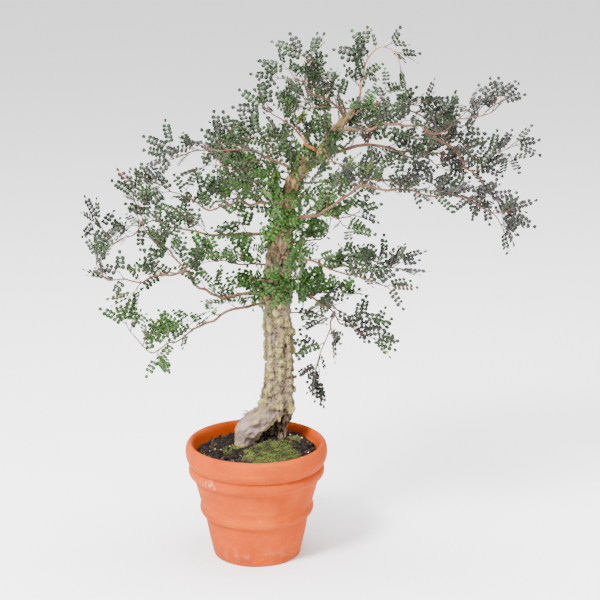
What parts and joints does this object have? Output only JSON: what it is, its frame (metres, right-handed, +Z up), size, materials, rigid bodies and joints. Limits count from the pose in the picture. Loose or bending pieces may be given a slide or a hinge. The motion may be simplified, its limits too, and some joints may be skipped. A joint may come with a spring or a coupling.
{
  "type": "bonsai tree in a pot",
  "caption": "Small-leaved bonsai tree with a warty leaning trunk, spreading branches and pinnate leaves, growing in a round terracotta pot with a rolled rim.",
  "frame": {"origin": "middle of the pot's flat underside", "axes": "+Z up, -Y towards the front of the tree, +X the way its top leans"},
  "size_m": [0.5673, 0.3427, 0.6699],
  "materials": {
    "terracotta": "unglazed, matte",
    "soil": "crumbly dark potting mix",
    "moss": "short soft moss",
    "bark": "warty grey-beige bark",
    "twig": "thin reddish-brown bark",
    "leaf": "glossy green leaflets on brown twigs"
  },
  "bodies": {
    "root": {"pot": "terracotta", "soil": "soil", "trunk": "bark", "moss_front": "moss", "moss_left": "moss", "moss_right": "moss", "limb_back_left": "twig", "limb_back_right": "twig", "limb_crown_left": "twig", "limb_crown_stub": "twig", "limb_left_high": "twig", "limb_left_low": "twig", "limb_left_main": "twig", "limb_left_upper": "twig", "limb_right_hanging": "twig", "limb_right_high": "twig", "limb_right_low": "twig", "limb_right_main": "twig", "limb_right_top": "twig", "shoot_back_left": "leaf", "shoot_back_low": "leaf", "shoot_back_right": "leaf", "shoot_back_top": "leaf", "shoot_crown_left": "leaf", "shoot_crown_left_back": "leaf", "shoot_crown_stub": "leaf", "shoot_front_high": "leaf", "shoot_front_low": "leaf", "shoot_front_mid": "leaf", "shoot_left_high": "leaf", "shoot_left_low": "leaf", "shoot_left_main": "leaf", "shoot_left_main_side": "leaf", "shoot_left_mid": "leaf", "shoot_left_top": "leaf", "shoot_left_upper": "leaf", "shoot_left_upper_side": "leaf", "shoot_right_back": "leaf", "shoot_right_base": "leaf", "shoot_right_dangling": "leaf", "shoot_right_hanging": "leaf", "shoot_right_high": "leaf", "shoot_right_high_side": "leaf", "shoot_right_inner": "leaf", "shoot_right_low": "leaf", "shoot_right_low_side": "leaf", "shoot_right_main": "leaf", "shoot_right_main_lower": "leaf", "shoot_right_main_upper": "leaf", "shoot_right_stub": "leaf", "shoot_right_top": "leaf", "shoot_right_top_side": "leaf", "shoot_top_far_right": "leaf", "shoot_top_far_right_side": "leaf", "shoot_top_left": "leaf", "shoot_top_left_side": "leaf", "shoot_top_middle": "leaf", "shoot_top_right": "leaf"}
  },
  "joints": []
}
